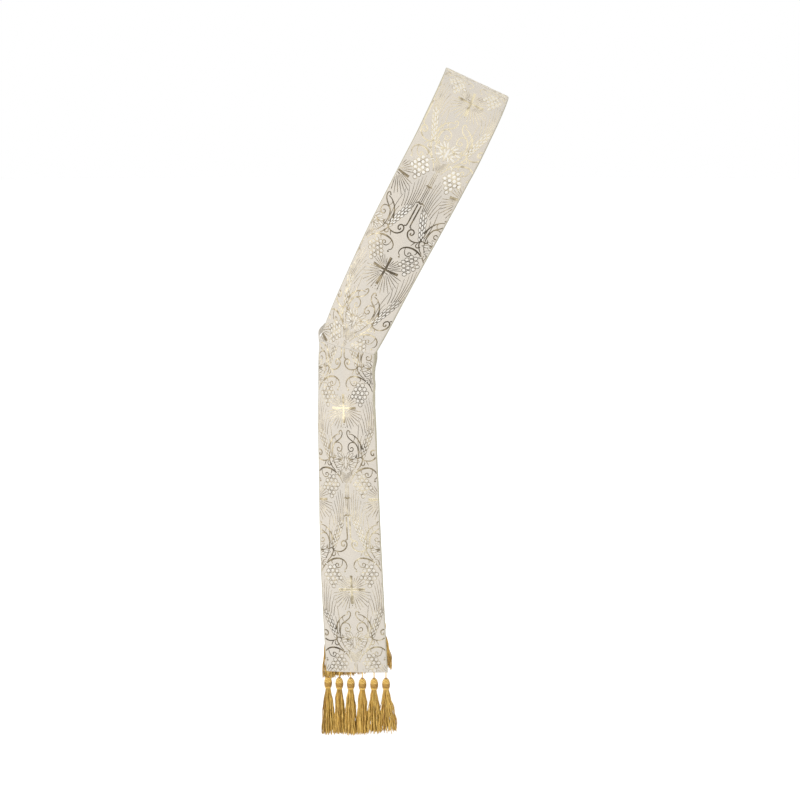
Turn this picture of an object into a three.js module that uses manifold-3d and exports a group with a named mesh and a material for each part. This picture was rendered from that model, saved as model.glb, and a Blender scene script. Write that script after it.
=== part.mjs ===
// Deacon stole of brocade, as it is worn: over the wearer's left shoulder, across the chest and the
// back to the right hip, with a tail hanging down from the hip in front and another behind.
// Four cloth panels are sewn in seams at the shoulder and at both sides of the hip, a short tab
// joins the front to the back there, and six tassels hang from the hem of each tail.
// Units are millimetres: +X is the wearer's left, +Y is behind the wearer and +Z is up.
// The origin is where the shoulder carries the stole, under the middle of the shoulder seam.
import * as THREE from 'three';
import { mergeVertices } from 'three/addons/utils/BufferGeometryUtils.js';
import Module from 'manifold-3d';

// Driving sizes
const shoulderWidth = 129;
const hipWidth = 125;
const hemWidth = 121;
const clothThickness = 2;
const seamGap = 0.3;
const tasselsPerTail = 6;
const tasselInset = 3.5;

// How many sections and strips a panel's wall is divided into
const shoulderSections = 36;
const tailSections = 26;
const stripsAcross = 6;
// How far from the hip seam the panels start to turn to face the same way there
const hipBlend = 60;

// Each row is one section of the cloth, measured on its inner face.
// drop is the depth below the shoulder, across the distance towards the wearer's right, and reach
// the distance out from the shoulder ridge. turn is the angle by which the cloth faces away to the
// right, tilt the slope of the section towards the wearer's left, in degrees, bow the height of its
// crown, and spread the section's length as a share of the cloth's width.
const shoulderPath = [
  { drop: 0, across: 0, reach: 0, turn: 0, tilt: 24.7, bow: 0, spread: 1 },
  { drop: 2.3, across: 1, reach: 28, turn: 0, tilt: 24.7, bow: 0, spread: 1 },
  { drop: 10, across: 5, reach: 56, turn: 0, tilt: 24.8, bow: 0.5, spread: 1 },
  { drop: 24.5, across: 12, reach: 82, turn: 0, tilt: 25, bow: 1, spread: 1 },
  { drop: 45.5, across: 22, reach: 101, turn: 0, tilt: 25.2, bow: 2, spread: 1 },
  { drop: 76, across: 37, reach: 115, turn: 0.5, tilt: 25.6, bow: 3, spread: 1 },
  { drop: 115, across: 56, reach: 123, turn: 2, tilt: 26, bow: 4, spread: 1 },
  { drop: 160, across: 80, reach: 129, turn: 4, tilt: 26.8, bow: 5, spread: 1 },
  { drop: 220, across: 112, reach: 132, turn: 8, tilt: 27.4, bow: 6, spread: 1 },
  { drop: 290, across: 149, reach: 129, turn: 14, tilt: 27.2, bow: 7, spread: 1 },
  { drop: 360, across: 184, reach: 121, turn: 21, tilt: 26, bow: 8, spread: 1 },
  { drop: 425, across: 215, reach: 108, turn: 28, tilt: 21, bow: 9, spread: 1.02 },
  { drop: 487, across: 243, reach: 92, turn: 34, tilt: 8, bow: 10, spread: 1.05 },
];
const tailPath = [
  { drop: 487, across: 243, reach: 92, turn: 34, tilt: 8, bow: 10, spread: 1.05 },
  { drop: 520, across: 244.3, reach: 90, turn: 32, tilt: 4.5, bow: 10, spread: 1.04 },
  { drop: 580, across: 244.5, reach: 92, turn: 28.5, tilt: 0, bow: 9, spread: 1.01 },
  { drop: 650, across: 243.5, reach: 97, turn: 25, tilt: -1.5, bow: 8, spread: 1.01 },
  { drop: 730, across: 241.5, reach: 103, turn: 21, tilt: -2, bow: 7, spread: 1 },
  { drop: 820, across: 239.5, reach: 108, turn: 17, tilt: -2, bow: 6, spread: 1 },
  { drop: 920, across: 236, reach: 113, turn: 13, tilt: -2, bow: 5, spread: 1 },
  { drop: 1020, across: 231.5, reach: 117, turn: 11, tilt: -2, bow: 4.5, spread: 1 },
  { drop: 1112.5, across: 227, reach: 120, turn: 10, tilt: -2, bow: 4, spread: 1 },
];

// How the back lies where the front has the given drop: lift is how much higher, left how much
// further towards the wearer's left, and outward how much further from the shoulder ridge.
const backOffsets = [
  { drop: 0, lift: 0, left: 0, outward: 0 },
  { drop: 24.5, lift: 0, left: 5, outward: 4 },
  { drop: 76, lift: 0, left: 8, outward: 7 },
  { drop: 160, lift: 2, left: 7.5, outward: 8 },
  { drop: 290, lift: 6, left: 7, outward: 6 },
  { drop: 425, lift: 11, left: 8, outward: 2 },
  { drop: 487, lift: 12, left: 6, outward: -2 },
  { drop: 580, lift: 12, left: -3, outward: 0 },
  { drop: 730, lift: 13, left: -8, outward: 14 },
  { drop: 920, lift: 15, left: -9, outward: 30 },
  { drop: 1112.5, lift: 18, left: -10, outward: 42 },
];

// Soft puckers that the hip seam leaves in the tail. at is the distance down from the seam, length
// how far each one fades along the cloth, side the edge it runs out to, and height its rise.
const tailPuckers = [
  { at: 38, length: 13, side: 1, height: 2.4 },
  { at: 66, length: 14, side: 1, height: -1.8 },
  { at: 98, length: 18, side: 1, height: 1.6 },
  { at: 140, length: 24, side: -1, height: 1.5 },
  { at: 210, length: 34, side: 1, height: 1.4 },
];
const puckerStart = -0.2;

// The tab that joins the front to the back at the hip
const tabHeight = 12;
const tabThickness = 1.6;
const tabBulge = 5;
const tabTuck = 14;
const tabLead = 3;
const tabClearance = 0.8;
const tabSteps = 18;

// A tassel: its cord, its wound head and its skirt of yarn locks
const cordLength = 12;
const cordRadius = 1.1;
const headLength = 23;
const headRadius = 7.2;
const collarRadius = 6;
const skirtFlattening = 0.82;
const lockRise = 4;
const lockDepthShare = 0.8;
// Where a lock bends: its share of the length and of the way out to its tip's radius
const lockBend = { down: 0.35, out: 0.62 };
const headSides = 8;
// The head's outline. share is the distance down the head and radius a share of headRadius.
const headProfile = [
  { share: 0, radius: 0.34 },
  { share: 0.1, radius: 0.72 },
  { share: 0.28, radius: 0.98 },
  { share: 0.55, radius: 1 },
  { share: 0.8, radius: 0.9 },
  { share: 0.86, radius: 0.97 },
  { share: 0.95, radius: 0.95 },
];
// Rings of locks, from the middle out. Radii and sizes are given at the root and at the tip.
const lockRings = [
  { locks: 1, rootRadius: 0, tipRadius: 0, rootSize: 1.3, tipSize: 2.6 },
  { locks: 5, rootRadius: 2.3, tipRadius: 5, rootSize: 1.4, tipSize: 3.4 },
  { locks: 10, rootRadius: 4.7, tipRadius: 9.3, rootSize: 1.7, tipSize: 3.7 },
];
const lockUnevenness = 1.6;
// Each tassel's skirt, from the wearer's right to the left: its length, how far its tips lean to
// the left, and its spread at the tips as a share of the ring sizes above.
const skirts = [
  { length: 90, lean: -1, spread: 1 },
  { length: 88, lean: 0, spread: 0.92 },
  { length: 89, lean: 0, spread: 1 },
  { length: 87, lean: 0, spread: 0.95 },
  { length: 86, lean: 0.5, spread: 1 },
  { length: 84, lean: 4.4, spread: 1.25 },
];

const radians = THREE.MathUtils.degToRad;

const brocade = new THREE.MeshStandardMaterial({ color: 0xe3dacb, roughness: 0.62, metalness: 0 });
const goldYarn = new THREE.MeshStandardMaterial({ color: 0xc89b3c, roughness: 0.55, metalness: 0.1 });

// A smooth curve through the values of one column at the given distances, read at one distance
function readColumn(distances, values, at) {
  const last = distances.length - 1;
  const slope = (i) => (values[i + 1] - values[i]) / (distances[i + 1] - distances[i]);
  const tangent = (i) => {
    if (i === 0) return slope(0);
    if (i === last) return slope(last - 1);
    const before = distances[i] - distances[i - 1];
    const after = distances[i + 1] - distances[i];
    return (slope(i - 1) * after + slope(i) * before) / (before + after);
  };
  let i = 0;
  while (i < last - 1 && at > distances[i + 1]) i += 1;
  const span = distances[i + 1] - distances[i];
  const t = (at - distances[i]) / span;
  return (2 * t ** 3 - 3 * t ** 2 + 1) * values[i]
    + (t ** 3 - 2 * t ** 2 + t) * span * tangent(i)
    + (-2 * t ** 3 + 3 * t ** 2) * values[i + 1]
    + (t ** 3 - t ** 2) * span * tangent(i + 1);
}

// The sections of one panel: evenly spaced along its path, each with its middle, its direction
// across, its outward normal, its chord and its bow. The back's are worked out as if they lay in
// front, and its solids are mirrored afterwards.
function panelSections({ path, count, startWidth, endWidth, isBack, hipEnd }) {
  const offset = (name, drop) => (isBack
    ? readColumn(backOffsets.map((row) => row.drop), backOffsets.map((row) => row[name]), drop)
    : 0);
  const middles = path.map((row) => new THREE.Vector3(
    -row.across + offset('left', row.drop),
    -row.reach - offset('outward', row.drop) - seamGap / 2,
    -row.drop + offset('lift', row.drop),
  ));
  const distances = [0];
  for (let i = 1; i < middles.length; i += 1) {
    distances.push(distances[i - 1] + middles[i].distanceTo(middles[i - 1]));
  }
  const length = distances[distances.length - 1];
  const column = (name, at) => readColumn(distances, path.map((row) => row[name]), at);
  const axis = (name, at) => readColumn(distances, middles.map((middle) => middle[name]), at);
  const middleAt = (at) => new THREE.Vector3(axis('x', at), axis('y', at), axis('z', at));
  const sections = [];
  for (let i = 0; i < count; i += 1) {
    const at = (length * i) / (count - 1);
    const middle = middleAt(at);
    const ahead = middleAt(Math.min(at + 1, length));
    const along = ahead.sub(middleAt(Math.max(at - 1, 0))).normalize();
    const turn = radians(column('turn', at));
    const tilt = radians(column('tilt', at));
    const across = new THREE.Vector3(
      Math.cos(turn) * Math.cos(tilt),
      -Math.sin(turn) * Math.cos(tilt),
      -Math.sin(tilt),
    );
    // Both panels face the same way at the hip seam, so that their ends meet face to face
    const facing = new THREE.Vector3(-Math.sin(turn), -Math.cos(turn), 0);
    const toHip = hipEnd === 'last' ? length - at : at;
    const seamShare = 1 - THREE.MathUtils.smoothstep(toHip, 0, hipBlend);
    const normal = along.cross(across).normalize().lerp(facing, seamShare).normalize();
    const width = THREE.MathUtils.lerp(startWidth, endWidth, at / length) * column('spread', at);
    const bow = column('bow', at);
    const chord = width * (1 - (8 / 3) * (bow / width) ** 2);
    sections.push({ at, middle, across, normal, chord, bow });
  }
  return sections;
}

// How far the puckers lift the cloth at one place. share runs from -1 at the wearer's right edge
// to 1 at the left edge.
function puckerLift(puckers, at, share) {
  let lift = 0;
  for (const pucker of puckers) {
    const along = Math.exp(-(((at - pucker.at) / pucker.length) ** 2));
    const outward = THREE.MathUtils.smoothstep(share * pucker.side, puckerStart, 1);
    lift += pucker.height * along * outward;
  }
  return lift;
}

// One point of a section, at a share from -1 to 1 across it and a height above its inner face
function sectionPoint(section, share, height, puckers) {
  const crown = section.bow * (1 - share * share) + puckerLift(puckers, section.at, share);
  return section.middle.clone()
    .addScaledVector(section.across, (section.chord / 2) * share)
    .addScaledVector(section.normal, crown + height);
}

// A closed mesh from rings of points, each ring joined to the next, with flat fans at both ends
function solidFromRings(rings, fanEnds) {
  const corners = rings[0].length;
  const positions = rings.flat().flatMap((point) => [point.x, point.y, point.z]);
  const triangles = [];
  for (let i = 0; i < rings.length - 1; i += 1) {
    for (let j = 0; j < corners; j += 1) {
      const a = i * corners + j;
      const b = i * corners + ((j + 1) % corners);
      triangles.push(a, a + corners, b, b, a + corners, b + corners);
    }
  }
  const lastRing = (rings.length - 1) * corners;
  for (const [a, b, c] of fanEnds(corners)) {
    triangles.push(a, b, c);
    triangles.push(lastRing + a, lastRing + c, lastRing + b);
  }
  const geometry = new THREE.BufferGeometry();
  geometry.setAttribute('position', new THREE.Float32BufferAttribute(positions, 3));
  geometry.setIndex(triangles);
  return geometry;
}

// The end of a wall: strips between its outer points and its inner points
function wallEnd(corners) {
  const fans = [];
  const half = corners / 2;
  for (let j = 0; j < half - 1; j += 1) {
    const back = corners - 1 - j;
    fans.push([j, j + 1, back], [j + 1, back - 1, back]);
  }
  return fans;
}

// The end of a round or square piece: one fan from its first corner
function fanEnd(corners) {
  const fans = [];
  for (let j = 1; j < corners - 1; j += 1) fans.push([0, j, j + 1]);
  return fans;
}

// A wall of cloth over the sections: the outer points run one way and the inner points back
function clothWall(sections, puckers) {
  const rings = sections.map((section) => {
    const outer = [];
    const inner = [];
    for (let j = 0; j <= stripsAcross; j += 1) {
      const share = -1 + (2 * j) / stripsAcross;
      outer.push(sectionPoint(section, share, clothThickness, puckers));
      inner.unshift(sectionPoint(section, share, 0, puckers));
    }
    return [...outer, ...inner];
  });
  return solidFromRings(rings, wallEnd);
}

// The same solid on the other side of the shoulder ridge, with its faces still pointing out
function mirrored(geometry) {
  geometry.scale(1, -1, 1);
  const index = geometry.index.array;
  for (let i = 0; i < index.length; i += 3) {
    [index[i + 1], index[i + 2]] = [index[i + 2], index[i + 1]];
  }
  return geometry;
}

// The profile of a tassel's cord and head, turned round a vertical axis that hangs from the origin
function tasselHead() {
  const outline = [new THREE.Vector2(0, 0), new THREE.Vector2(cordRadius, 0)];
  outline.push(new THREE.Vector2(cordRadius, -cordLength));
  for (const row of headProfile) {
    outline.push(new THREE.Vector2(headRadius * row.radius, -cordLength - headLength * row.share));
  }
  outline.push(new THREE.Vector2(collarRadius, -cordLength - headLength));
  outline.push(new THREE.Vector2(0, -cordLength - headLength));
  const geometry = new THREE.LatheGeometry(outline.reverse(), headSides);
  geometry.rotateX(Math.PI / 2);
  return geometry;
}

// One lock of yarn: a four-sided piece that widens from its root in the head to its loose tip
function yarnLock(ring, position, skirt) {
  const angle = (2 * Math.PI * position) / ring.locks + ring.locks;
  const outward = new THREE.Vector3(Math.cos(angle), Math.sin(angle), 0);
  const sideways = new THREE.Vector3(-Math.sin(angle), Math.cos(angle), 0);
  const unevenness = lockUnevenness * Math.sin(position * ring.locks);
  const reach = skirt.length - lockUnevenness + unevenness;
  const top = -cordLength - headLength;
  const stops = [
    { height: lockRise, share: 0 },
    { height: -reach * lockBend.down, share: lockBend.out },
    { height: -reach, share: 1 },
  ];
  const rings = stops.map(({ height, share }) => {
    const radius = THREE.MathUtils.lerp(ring.rootRadius, ring.tipRadius * skirt.spread, share);
    const size = THREE.MathUtils.lerp(ring.rootSize, ring.tipSize * skirt.spread, share) / 2;
    const middle = outward.clone().multiplyScalar(radius).setZ(top + height);
    middle.x += skirt.lean * share;
    return [[-1, 0], [0, lockDepthShare], [1, 0], [0, -lockDepthShare]].map(([side, out]) => middle.clone()
      .addScaledVector(sideways, side * size)
      .addScaledVector(outward, out * size));
  });
  return solidFromRings(rings, fanEnd);
}

const wasm = await Module();
wasm.setup();

function toManifold(geometry) {
  const bare = geometry.clone();
  bare.deleteAttribute('normal');
  bare.deleteAttribute('uv');
  const merged = mergeVertices(bare, 1e-4);
  return new wasm.Manifold(new wasm.Mesh({
    numProp: 3,
    vertProperties: new Float32Array(merged.attributes.position.array),
    triVerts: new Uint32Array(merged.index.array),
  }));
}

function fromManifold(manifold) {
  const mesh = manifold.getMesh();
  const geometry = new THREE.BufferGeometry();
  geometry.setAttribute('position', new THREE.Float32BufferAttribute(mesh.vertProperties, 3));
  geometry.setIndex([...mesh.triVerts]);
  return geometry;
}

// A whole tassel, hanging straight down from the origin
function tassel(skirt) {
  let solid = toManifold(tasselHead());
  for (const ring of lockRings) {
    for (let position = 0; position < ring.locks; position += 1) {
      solid = solid.add(toManifold(yarnLock(ring, position, skirt)));
    }
  }
  return fromManifold(solid).scale(1, skirtFlattening, 1);
}

// Where one end of the tab lies: its start under the panel's inner face, the panel's corner, and
// a point past that corner in the same direction. behind is true for the end at the back panel.
function tabEnd(section, behind) {
  const depth = -seamGap - tabClearance - tabThickness / 2;
  const start = sectionPoint(section, -1 + (2 * tabTuck) / section.chord, depth, []);
  const corner = sectionPoint(section, -1, depth, []);
  start.z = corner.z;
  const past = corner.clone().sub(start).setLength(tabLead).add(corner);
  const points = [start, corner, past];
  if (behind) for (const point of points) point.y = -point.y;
  return points;
}

// The tab round the hip, from under the front panels' outer corner to under the back panels'
function hipTab(frontSection, backSection) {
  const front = tabEnd(frontSection, false);
  const back = tabEnd(backSection, true);
  const outermost = front[1].clone().add(back[1]).multiplyScalar(0.5);
  outermost.x = Math.min(front[1].x, back[1].x) - tabBulge;
  const route = new THREE.CatmullRomCurve3([...front, outermost, ...back.reverse()], false, 'centripetal');
  const rings = [];
  for (let i = 0; i <= tabSteps; i += 1) {
    const point = route.getPointAt(i / tabSteps);
    const along = route.getTangentAt(i / tabSteps);
    const outward = new THREE.Vector3(along.y, -along.x, 0).normalize();
    const corners = [[1, 1], [-1, 1], [-1, -1], [1, -1]];
    rings.push(corners.map(([side, up]) => point.clone()
      .addScaledVector(outward, (side * tabThickness) / 2)
      .add(new THREE.Vector3(0, 0, (up * tabHeight) / 2))));
  }
  return solidFromRings(rings, fanEnd);
}

const stole = new THREE.Group();
const hipSections = {};

function addPiece(name, geometry, material) {
  const mesh = new THREE.Mesh(geometry, material);
  mesh.name = name;
  stole.add(mesh);
  return mesh;
}

for (const half of ['front', 'back']) {
  const isBack = half === 'back';
  const side = isBack ? mirrored : (geometry) => geometry;

  const shoulder = panelSections({
    path: shoulderPath,
    count: shoulderSections,
    startWidth: shoulderWidth,
    endWidth: hipWidth,
    isBack,
    hipEnd: 'last',
  });
  addPiece(`${half}_shoulder_panel`, side(clothWall(shoulder, [])), brocade);

  const tail = panelSections({
    path: tailPath.map((row) => ({ ...row, drop: row.drop + seamGap })),
    count: tailSections,
    startWidth: hipWidth,
    endWidth: hemWidth,
    isBack,
    hipEnd: 'first',
  });
  addPiece(`${half}_tail_panel`, side(clothWall(tail, tailPuckers)), brocade);

  [hipSections[half]] = tail;

  const hem = tail[tail.length - 1];
  for (let i = 0; i < tasselsPerTail; i += 1) {
    const inset = tasselInset / (hem.chord / 2);
    const share = THREE.MathUtils.lerp(-1 + inset, 1 - inset, i / (tasselsPerTail - 1));
    const top = sectionPoint(hem, share, clothThickness / 2, []);
    const mesh = addPiece(`${half}_tassel_${i + 1}`, tassel(skirts[i]), goldYarn);
    mesh.position.set(top.x, isBack ? -top.y : top.y, top.z - seamGap);
  }
}

addPiece('side_tab', hipTab(hipSections.front, hipSections.back), brocade);

export default stole;
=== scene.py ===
"""Deacon stole of cream brocade with gold figures, worn from the left shoulder to the right hip.

Sizes are millimetres, and add_mesh turns them into metres. +X is the wearer's left, +Y is behind the
wearer and +Z is up. The path of the cloth and the sizes of the tassels repeat the CAD source's tables.
"""
import math

import bpy
import numpy as np
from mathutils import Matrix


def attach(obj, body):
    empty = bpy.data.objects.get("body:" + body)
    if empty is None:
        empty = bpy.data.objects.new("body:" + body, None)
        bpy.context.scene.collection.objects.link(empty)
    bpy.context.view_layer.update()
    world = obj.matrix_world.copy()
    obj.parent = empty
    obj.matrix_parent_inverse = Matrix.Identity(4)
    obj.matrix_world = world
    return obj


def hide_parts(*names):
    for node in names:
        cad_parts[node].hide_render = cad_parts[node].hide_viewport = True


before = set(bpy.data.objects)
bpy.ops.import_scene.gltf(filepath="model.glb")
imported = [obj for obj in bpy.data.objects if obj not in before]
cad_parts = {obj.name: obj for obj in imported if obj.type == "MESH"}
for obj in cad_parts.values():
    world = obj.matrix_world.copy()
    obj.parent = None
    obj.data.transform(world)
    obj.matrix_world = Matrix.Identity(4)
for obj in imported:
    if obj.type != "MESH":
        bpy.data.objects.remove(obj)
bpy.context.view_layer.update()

# Camera, in metres and degrees
CAMERA_PLACE = (-0.1444, -3.1514, -0.0485)
CAMERA_PITCH = 80
CAMERA_LENS = 74.25
CAMERA_SENSOR = 36

# Cloth
SHOULDER_WIDTH = 129
HIP_WIDTH = 125
HEM_WIDTH = 121
CLOTH_THICKNESS = 2
SEAM_GAP = 0.3
HIP_BLEND = 60
SECTION_STEP = 1
ROW_STEP = 2.6
COLUMNS = 44
# How full the cloth's thickness is, by distance from a hem and from a seam
HEM_ROUNDING = ((0, 0.35), (0.3, 0.72), (0.9, 0.93), (2, 1))
SEAM_ROUNDING = ((0, 0.9), (0.15, 0.97), (0.4, 1), (2, 1))
EDGE_RADIUS = 0.75
EDGE_STEPS = 4
FACING_STEP = 0.35

# Sections of the cloth on its inner face: drop below the shoulder, distance across to the wearer's
# right, reach out from the shoulder ridge, turn away to the right and tilt in degrees, bow of the crown
# and spread as a share of the width
SHOULDER_PATH = (
    (0, 0, 0, 0, 24.7, 0, 1),
    (2.3, 1, 28, 0, 24.7, 0, 1),
    (10, 5, 56, 0, 24.8, 0.5, 1),
    (24.5, 12, 82, 0, 25, 1, 1),
    (45.5, 22, 101, 0, 25.2, 2, 1),
    (76, 37, 115, 0.5, 25.6, 3, 1),
    (115, 56, 123, 2, 26, 4, 1),
    (160, 80, 129, 4, 26.8, 5, 1),
    (220, 112, 132, 8, 27.4, 6, 1),
    (290, 149, 129, 14, 27.2, 7, 1),
    (360, 184, 121, 21, 26, 8, 1),
    (425, 215, 108, 28, 21, 9, 1.02),
    (487, 243, 92, 34, 8, 10, 1.05),
)
TAIL_PATH = (
    (487, 243, 92, 34, 8, 10, 1.05),
    (520, 244.3, 90, 32, 4.5, 10, 1.04),
    (580, 244.5, 92, 28.5, 0, 9, 1.01),
    (650, 243.5, 97, 25, -1.5, 8, 1.01),
    (730, 241.5, 103, 21, -2, 7, 1),
    (820, 239.5, 108, 17, -2, 6, 1),
    (920, 236, 113, 13, -2, 5, 1),
    (1020, 231.5, 117, 11, -2, 4.5, 1),
    (1112.5, 227, 120, 10, -2, 4, 1),
)
# The back against the front at the same drop: how much higher, further left and further out it lies
BACK_OFFSETS = (
    (0, 0, 0, 0),
    (24.5, 0, 5, 4),
    (76, 0, 8, 7),
    (160, 2, 7.5, 8),
    (290, 6, 7, 6),
    (425, 11, 8, 2),
    (487, 12, 6, -2),
    (580, 12, -3, 0),
    (730, 13, -8, 14),
    (920, 15, -9, 30),
    (1112.5, 18, -10, 42),
)
# Puckers that the hip seam leaves in a tail: distance down, how far each fades, the edge it runs out
# to and its rise
TAIL_PUCKERS = (
    (38, 13, 1, 2.4),
    (66, 14, 1, -1.8),
    (98, 18, 1, 1.6),
    (140, 24, -1, 1.5),
    (210, 34, 1, 1.4),
)
PUCKER_START = -0.2
# Soft folds: distance down, share across, how far each fades along and across, how far it slants per
# millimetre across, and its rise
SHOULDER_FOLDS = (
    (70, 0.3, 26, 0.5, 0.1, -0.5),
    (168, -0.4, 40, 0.5, 0.3, 0.5),
    (300, 0.35, 60, 0.4, 0.4, -0.6),
    (428, -0.5, 44, 0.5, 0.5, 0.6),
    (520, 0.45, 24, 0.5, 0.3, -0.9),
    (566, 0.1, 17, 0.6, 0.35, 1.1),
    (592, 0.55, 12, 0.5, 0.3, -1.2),
)
TAIL_FOLDS = (
    (24, -0.35, 12, 0.5, -0.2, 0.9),
    (52, 0.6, 8, 0.35, 0.15, -1.1),
    (82, 0.75, 9, 0.3, 0.1, 1),
    (118, 0.7, 11, 0.3, -0.1, -0.9),
    (165, 0.45, 30, 0.3, 0.2, 0.8),
    (270, -0.4, 70, 0.35, 0, 0.8),
    (392, 0.4, 90, 0.4, 0, -0.8),
    (520, -0.2, 70, 0.45, 0, 0.7),
)
FOLD_FADE = 14
# How wide the lining shows beside the brocade along the edges, by distance down a panel
PLAIN_FACING = ((0, 1.7), (630, 1.7))
TAIL_FACING = ((0, 1.7), (14, 2.2), (34, 3.4), (120, 3.4), (190, 2.4), (300, 1.9), (630, 1.7))
# Its waves, as length and size, and how far past the plain width they reach their full size
FACING_WAVES = ((9.5, 0.25), (23, 0.3))
WAVES_FADE = 2

# The woven pattern. It repeats down columns that stand side by side, each half a repeat lower.
REPEAT = 350
COLUMN_SPACING = 67.5
# Where the weave lies on the panels of both halves: distance along the pattern from its first cross,
# distance down the panel, and how far across the middle column has drifted
SHOULDER_GRAIN = (
    (-350, -238, 3), (0, 110, 3), (262, 370, 4), (350, 449.5, 4.5), (410, 516, -1), (440, 548, -2.5),
    (480, 590, -2.5), (1000, 1110, -2.5),
)
TAIL_GRAIN = ((-350, -231, -1.5), (0, 115, -1.5), (350, 463, 0), (1000, 1112, 0))
# The tilt of the woven rows in degrees, which stays the same where the cloth is cut aslant at the hip
SHOULDER_ROW_TILT = 26.8
TAIL_ROW_TILT = -3.6
# How far the woven rows of a shoulder panel hang lower in the middle than at the edges
SHOULDER_SAG = 7
# Painted reflection and painted sheen on a panel: how bright the metal thread's colour is, standing in for
# what it mirrors, and how white its pads are, partly their own pale satin and partly painted sheen: the
# usual share, and ovals that differ, as distance down, distance across, reach down, reach across and change
SHOULDER_PAINTED_REFLECTION = (0.58, (
    (130, 0, 100, 110, 0.44), (190, 0, 48, 90, 0.24), (110, 0, 22, 34, -0.25), (40, 0, 40, 90, 0.12),
    (240, 0, 30, 90, 0.1), (306, -40, 38, 45, -0.42), (338, 0, 54, 60, -0.38), (421, 23, 72, 43, -0.75),
    (440, -52, 70, 26, 0.18), (522, 50, 30, 22, -0.72), (570, 36, 12, 22, 0.16), (520, -45, 30, 20, 0.1),
    (590, 16, 14, 20, 0.15), (600, 62, 12, 8, -0.6), (610, -56, 16, 14, -0.35),
))
SHOULDER_WHITENESS_AND_SHEEN = (0.2, (
    (78, 0, 26, 80, 0.25), (0, 0, 30, 200, -0.1), (165, 0, 36, 90, 0.4), (205, 0, 24, 40, 0.25),
    (252, 0, 30, 90, 0.8), (352, 0, 30, 52, 0.8), (445, 42, 26, 26, 0.3), (545, 50, 26, 20, 0.7),
    (566, -30, 24, 26, 0.35),
))
TAIL_PAINTED_REFLECTION = (0.54, (
    (20, -10, 40, 60, 0.08), (62, 50, 48, 17, -0.6), (84, 32, 26, 18, -0.6), (120, -6, 19, 25, 0.62),
    (60, 24, 12, 12, 0.4), (150, 20, 22, 26, -0.35), (182, 14, 34, 24, -0.6), (232, -36, 19, 22, -0.62),
    (236, 2, 16, 24, -0.04), (250, 52, 30, 14, -0.3), (262, 24, 14, 22, 0.3), (286, -26, 22, 24, -0.42),
    (262, 5, 18, 60, 0.12), (296, -50, 16, 18, 0.05), (288, 54, 10, 15, 0.55), (300, 22, 40, 28, 0.06),
    (352, 24, 52, 26, 0.5), (398, -40, 22, 26, -0.4), (460, 0, 24, 30, 0.36), (530, -46, 44, 20, -0.38),
    (590, -46, 36, 20, -0.55), (560, 20, 60, 36, 0.14), (600, 4, 26, 24, 0.3),
))
TAIL_WHITENESS_AND_SHEEN = (0.12, (
    (84, 34, 24, 20, 0.3), (352, 18, 30, 24, 0.3), (412, -44, 24, 18, 0.55), (412, 44, 24, 18, 0.3),
    (540, -46, 30, 20, 0.3),
))
# More than 1 keeps the thread's own changes from showing in the middle of a bright zone of painted reflection
MOST_PAINTED_LIGHT = 1.25
# How far the pattern stays from the facings and from a panel's ends, and how far from the ends the
# middle of a stroke or a pad stays
PATTERN_LIMIT = 0.4
END_LIMIT = 0.6
FIGURE_LIMIT = 1
# Heights over the cloth's face: of strokes and dots, and of the edges of all figures
FIGURE_HEIGHT = 0.2
FIGURE_BASE = -0.08
# A stroke's flat top as a share of its width, and how far its ends slope out
STROKE_TOP = 0.62
STROKE_END = 0.35
STROKE_STEP = 1.25
# Shares of a line's length at which its widths are given
HALVES = (0, 0.5, 1)
LINE_WEIGHT = 1.5
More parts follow.
